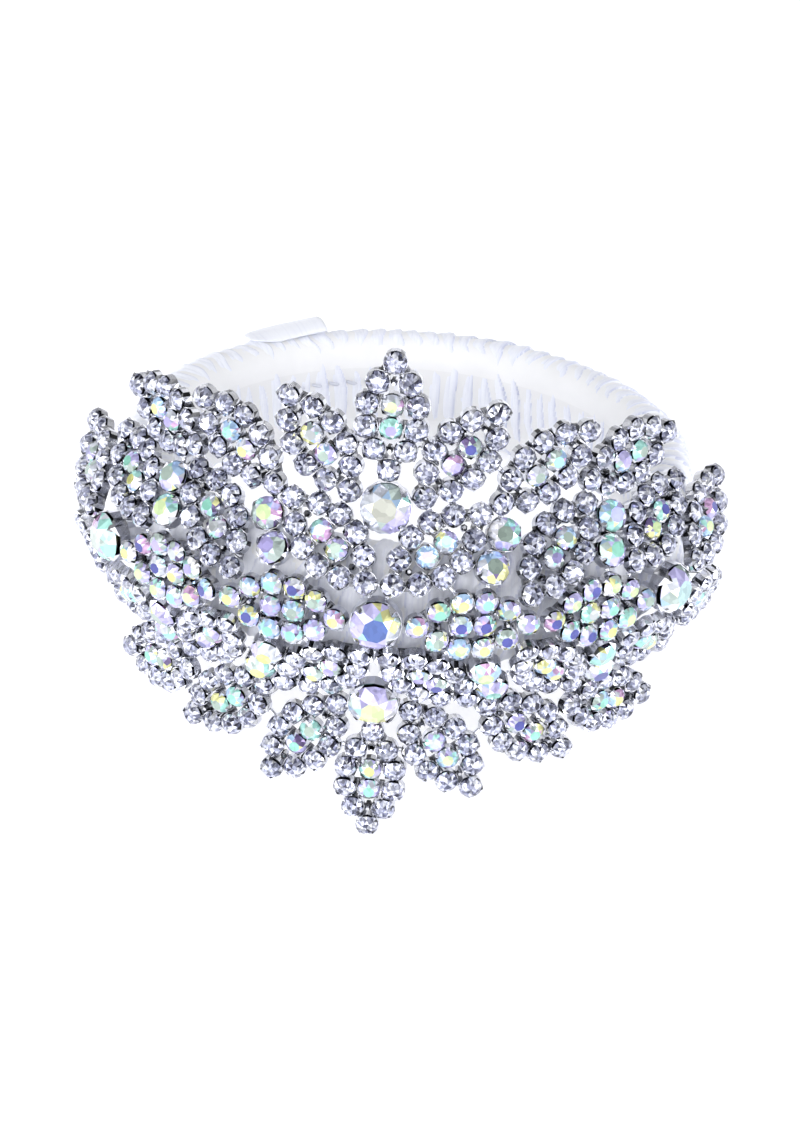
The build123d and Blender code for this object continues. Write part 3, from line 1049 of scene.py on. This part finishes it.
    def pair(self, name: str, near: Spot, far: Spot, side: int, row: int) -> None:
        """Two medium iridescent stones, turned along the line from the near one to the far one.

        Args:
            name: Its name after "pair_".
            near: Place of the stone nearer the middle row.
            far: Place of the other.
            side: 1 right, -1 left.
            row: 1 above, -1 below.
        """
        radius = self.plan_a - np.interp(near.height, self.steps, self.inset)
        run = radians(far.bearing - near.bearing) * radius
        turn = np.degrees(np.arctan2(far.height - near.height, run))
        middle = Spot((near.bearing + far.bearing) / 2, (near.height + far.height) / 2, turn)
        seat = self.seat(middle, side, row)
        self.set_cups("pair_" + name, seat, MEDIUM, [(0, -PAIR_HALF), (0, PAIR_HALF)], ((0, 1),))
        for y in (-PAIR_HALF, PAIR_HALF):
            self.set_stone("stones_medium", seat, (0, y), MEDIUM, Cut.RAINBOW)

    def build(self) -> None:
        """Places every setting as the frame has it, then empties the trays into one piece each."""
        for row_name, row in ROWS:
            self.leaf(f"{row_name}_crest", self.seat(Spot(0, self.crest_height, 90), 1, row), row)
            top = self.seat(Spot(0, self.top_big_height), 1, row)
            self.big(f"{row_name}_centre", top, BIG_TABLES[row_name])
            for side_name, side in SIDES:
                for name, spot in self.leaves.items():
                    self.leaf(f"{row_name}_{name}_{side_name}", self.seat(spot, side, row), row)
                for name, (near, far) in self.pairs.items():
                    self.pair(f"{row_name}_{name}_{side_name}", near, far, side, row)
        self.big("middle", self.seat(Spot(0, 0)), BIG_TABLES["middle"])
        for side_name, side in SIDES:
            self.big(f"end_{side_name}", self.seat(Spot(self.end_bearing, 0), side), BIG_TABLES[side_name])
            for name, bearing in self.middle.items():
                self.leaf(f"middle_{name}_{side_name}", self.seat(Spot(bearing, 0), side), 0)
        for node, shells in self.trays.items():
            clear = node.startswith("crystals")
            piece = add_piece("cut_" + node, Shell.joined(shells),
                              self.finishes.crystal if clear else self.finishes.rainbow)
            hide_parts(node)


# ---------------------------------------------------------------- the studio
@dataclass
class Studio:
    """Floor, soft light and the camera: angles in degrees, camera lengths in millimetres at the hoop."""

    space: HoopSpace
    elevation: float = 24.69
    azimuth: float = 3.56
    roll: float = 3.68
    distance: float = 345.4
    frame_height: float = 118.391
    right_of_middle: float = 0.601
    above_middle: float = 8.833
    floor_half: float = 3.0
    floor_glow: float = 0.3
    soft_light: float = 0.62
    dark_card: float = 0.16
    light_card: float = 1.15
    # name, place in metres from the hoop's centre, edge, watts
    lamps: tuple = (("key", (-0.22, -0.62, 0.54), 0.75, 3.6), ("low", (-0.05, -0.8, 0.08), 0.5, 1.1),
                    ("left", (-0.66, -0.32, 0.14), 0.4, 3.6), ("right", (0.66, -0.27, 0.14), 0.4, 4.0),
                    ("back", (0.2, 0.6, 0.5), 0.4, 0.3))

    def camera(self) -> None:
        """Places the camera round the hoop's own axes, aimed so that the hoop's centre lies off the middle.

        The view direction is the elevation above the hoop's plane and the azimuth round its axis.  The
        aim is the centre moved by the two offsets, and the lens is the sensor's height times the distance
        over the height that the frame covers there.
        """
        e, a = radians(self.elevation), radians(self.azimuth)
        x, y, z = self.space.basis()
        back = (x * sin(a) - y * cos(a)) * cos(e) + z * sin(e)
        right = np.cross(z, back)
        right /= np.linalg.norm(right)
        up = np.cross(back, right)
        r = radians(self.roll)
        cam_right, cam_up = right * cos(r) + up * sin(r), up * cos(r) - right * sin(r)
        place = self.space.centre + back * self.distance * MM
        aim = self.space.centre - cam_right * self.right_of_middle * MM - cam_up * self.above_middle * MM
        ahead = aim - place
        ahead /= np.linalg.norm(ahead)
        side = np.cross(ahead, cam_up)
        side /= np.linalg.norm(side)
        top = np.cross(side, ahead)
        data = bpy.data.cameras.new("Camera")
        data.sensor_fit, data.sensor_height = "VERTICAL", 36.0
        data.lens = self.distance / self.frame_height * data.sensor_height
        data.clip_start = 0.01
        camera = into_scene("Camera", data)
        turn = Matrix(np.stack([side, top, -ahead], 1).tolist()).to_4x4()
        camera.matrix_world = Matrix.Translation(Vector(place)) @ turn
        bpy.context.scene.camera = camera

    def floor(self) -> None:
        """A wide pale floor under the ring that reads as white and keeps the ring's shadow."""
        half = self.floor_half
        mesh = bpy.data.meshes.new("floor")
        corners = [(-half, -half, 0), (half, -half, 0), (half, half, 0), (-half, half, 0)]
        mesh.from_pydata(corners, [], [(0, 1, 2, 3)])
        material, sheet, shader = blank_material("White floor")
        fill(shader, {"Base Color": (0.93, 0.93, 0.95, 1), "Roughness": 0.9, "Emission Color": (1, 1, 1, 1)})
        seen = sheet.add("ShaderNodeLightPath")
        either = sheet.add("ShaderNodeMath", operation="MAXIMUM")
        glow = sheet.add("ShaderNodeMath", {1: self.floor_glow}, operation="MULTIPLY")
        sheet.join((seen, "Is Camera Ray", either, 0),
                   (seen, "Is Glossy Ray", either, 1),
                   (either, 0, glow, 0),
                   (glow, 0, shader, "Emission Strength"))
        mesh.materials.append(material)
        into_scene("floor", mesh)

    def world(self) -> None:
        """A pale world: soft light, plain white where it is seen, light and dark cards in mirrors."""
        world = bpy.data.worlds.new("World")
        world.use_nodes = True
        sheet = NodeSheet(world.node_tree)
        ground = world.node_tree.nodes["Background"]
        fill(ground, {"Color": (0.94, 0.955, 1.0, 1), "Strength": self.soft_light})
        white = sheet.add("ShaderNodeBackground", {0: (1, 1, 1, 1), 1: 1.0})
        cards = sheet.add("ShaderNodeBackground", {0: (1, 1, 1, 1)})
        facing = sheet.add("ShaderNodeTexCoord")
        noise = sheet.add("ShaderNodeTexNoise", {"Scale": 3.0, "Detail": 1.0})
        level = sheet.add("ShaderNodeMapRange", {"From Min": 0.42, "From Max": 0.58, "To Min": self.dark_card,
                                                 "To Max": self.light_card})
        seen = sheet.add("ShaderNodeLightPath")
        mirrored, mix = sheet.add("ShaderNodeMixShader"), sheet.add("ShaderNodeMixShader")
        sheet.join((facing, "Generated", noise, "Vector"),
                   (noise, 0, level, "Value"),
                   (level, 0, cards, 1),
                   (seen, "Is Glossy Ray", mirrored, 0),
                   (ground, 0, mirrored, 1),
                   (cards, 0, mirrored, 2),
                   (seen, "Is Camera Ray", mix, 0),
                   (mirrored, 0, mix, 1),
                   (white, 0, mix, 2),
                   (mix, 0, world.node_tree.nodes["World Output"], "Surface"))
        bpy.context.scene.world = world

    def lamp(self, name: str, place: tuple, size: float, power: float) -> None:
        """A square soft lamp aimed at the ring.

        Args:
            name: Its name.
            place: Where it stands, in metres from the hoop's centre.
            size: Its edge.
            power: Its power in watts.
        """
        data = bpy.data.lights.new(name, "AREA")
        data.shape, data.size, data.energy = "SQUARE", size, power
        lamp = into_scene(name, data)
        lamp.location = Vector(self.space.centre) + Vector(place)
        lamp.rotation_euler = (-Vector(place)).to_track_quat("-Z", "Y").to_euler()

    def build(self) -> None:
        """Sets up the camera, floor, world and lamps."""
        self.camera()
        self.floor()
        self.world()
        for name, place, size, power in self.lamps:
            self.lamp(name, place, size, power)
        bpy.context.scene.view_settings.view_transform = "Standard"


def dress_cad_nodes(finishes: Finishes) -> None:
    """Gives the CAD nodes that stay their materials.

    Args:
        finishes: The ring's materials.
    """
    kept = {"hoop_core": finishes.strip, "hoop_padding": finishes.wadding,
            "sewing_ties": finishes.thread, "solder_links": finishes.wire}
    for node, material in kept.items():
        mesh = frame["nodes"][node].data
        mesh.materials.clear()
        mesh.materials.append(material)


def main() -> None:
    """Builds the hoop, the applique and the studio, and reports each piece."""
    logging.basicConfig(level=logging.INFO, format="%(name)s: %(message)s")
    space = HoopSpace.from_record(frame["record"])
    finishes = Finishes()
    WoundHoop(space).build(finishes.satin)
    Stitching(space).build(finishes.thread)
    Applique(space, finishes).build()
    dress_cad_nodes(finishes)
    Studio(space).build()


if __name__ == "__main__":
    main()
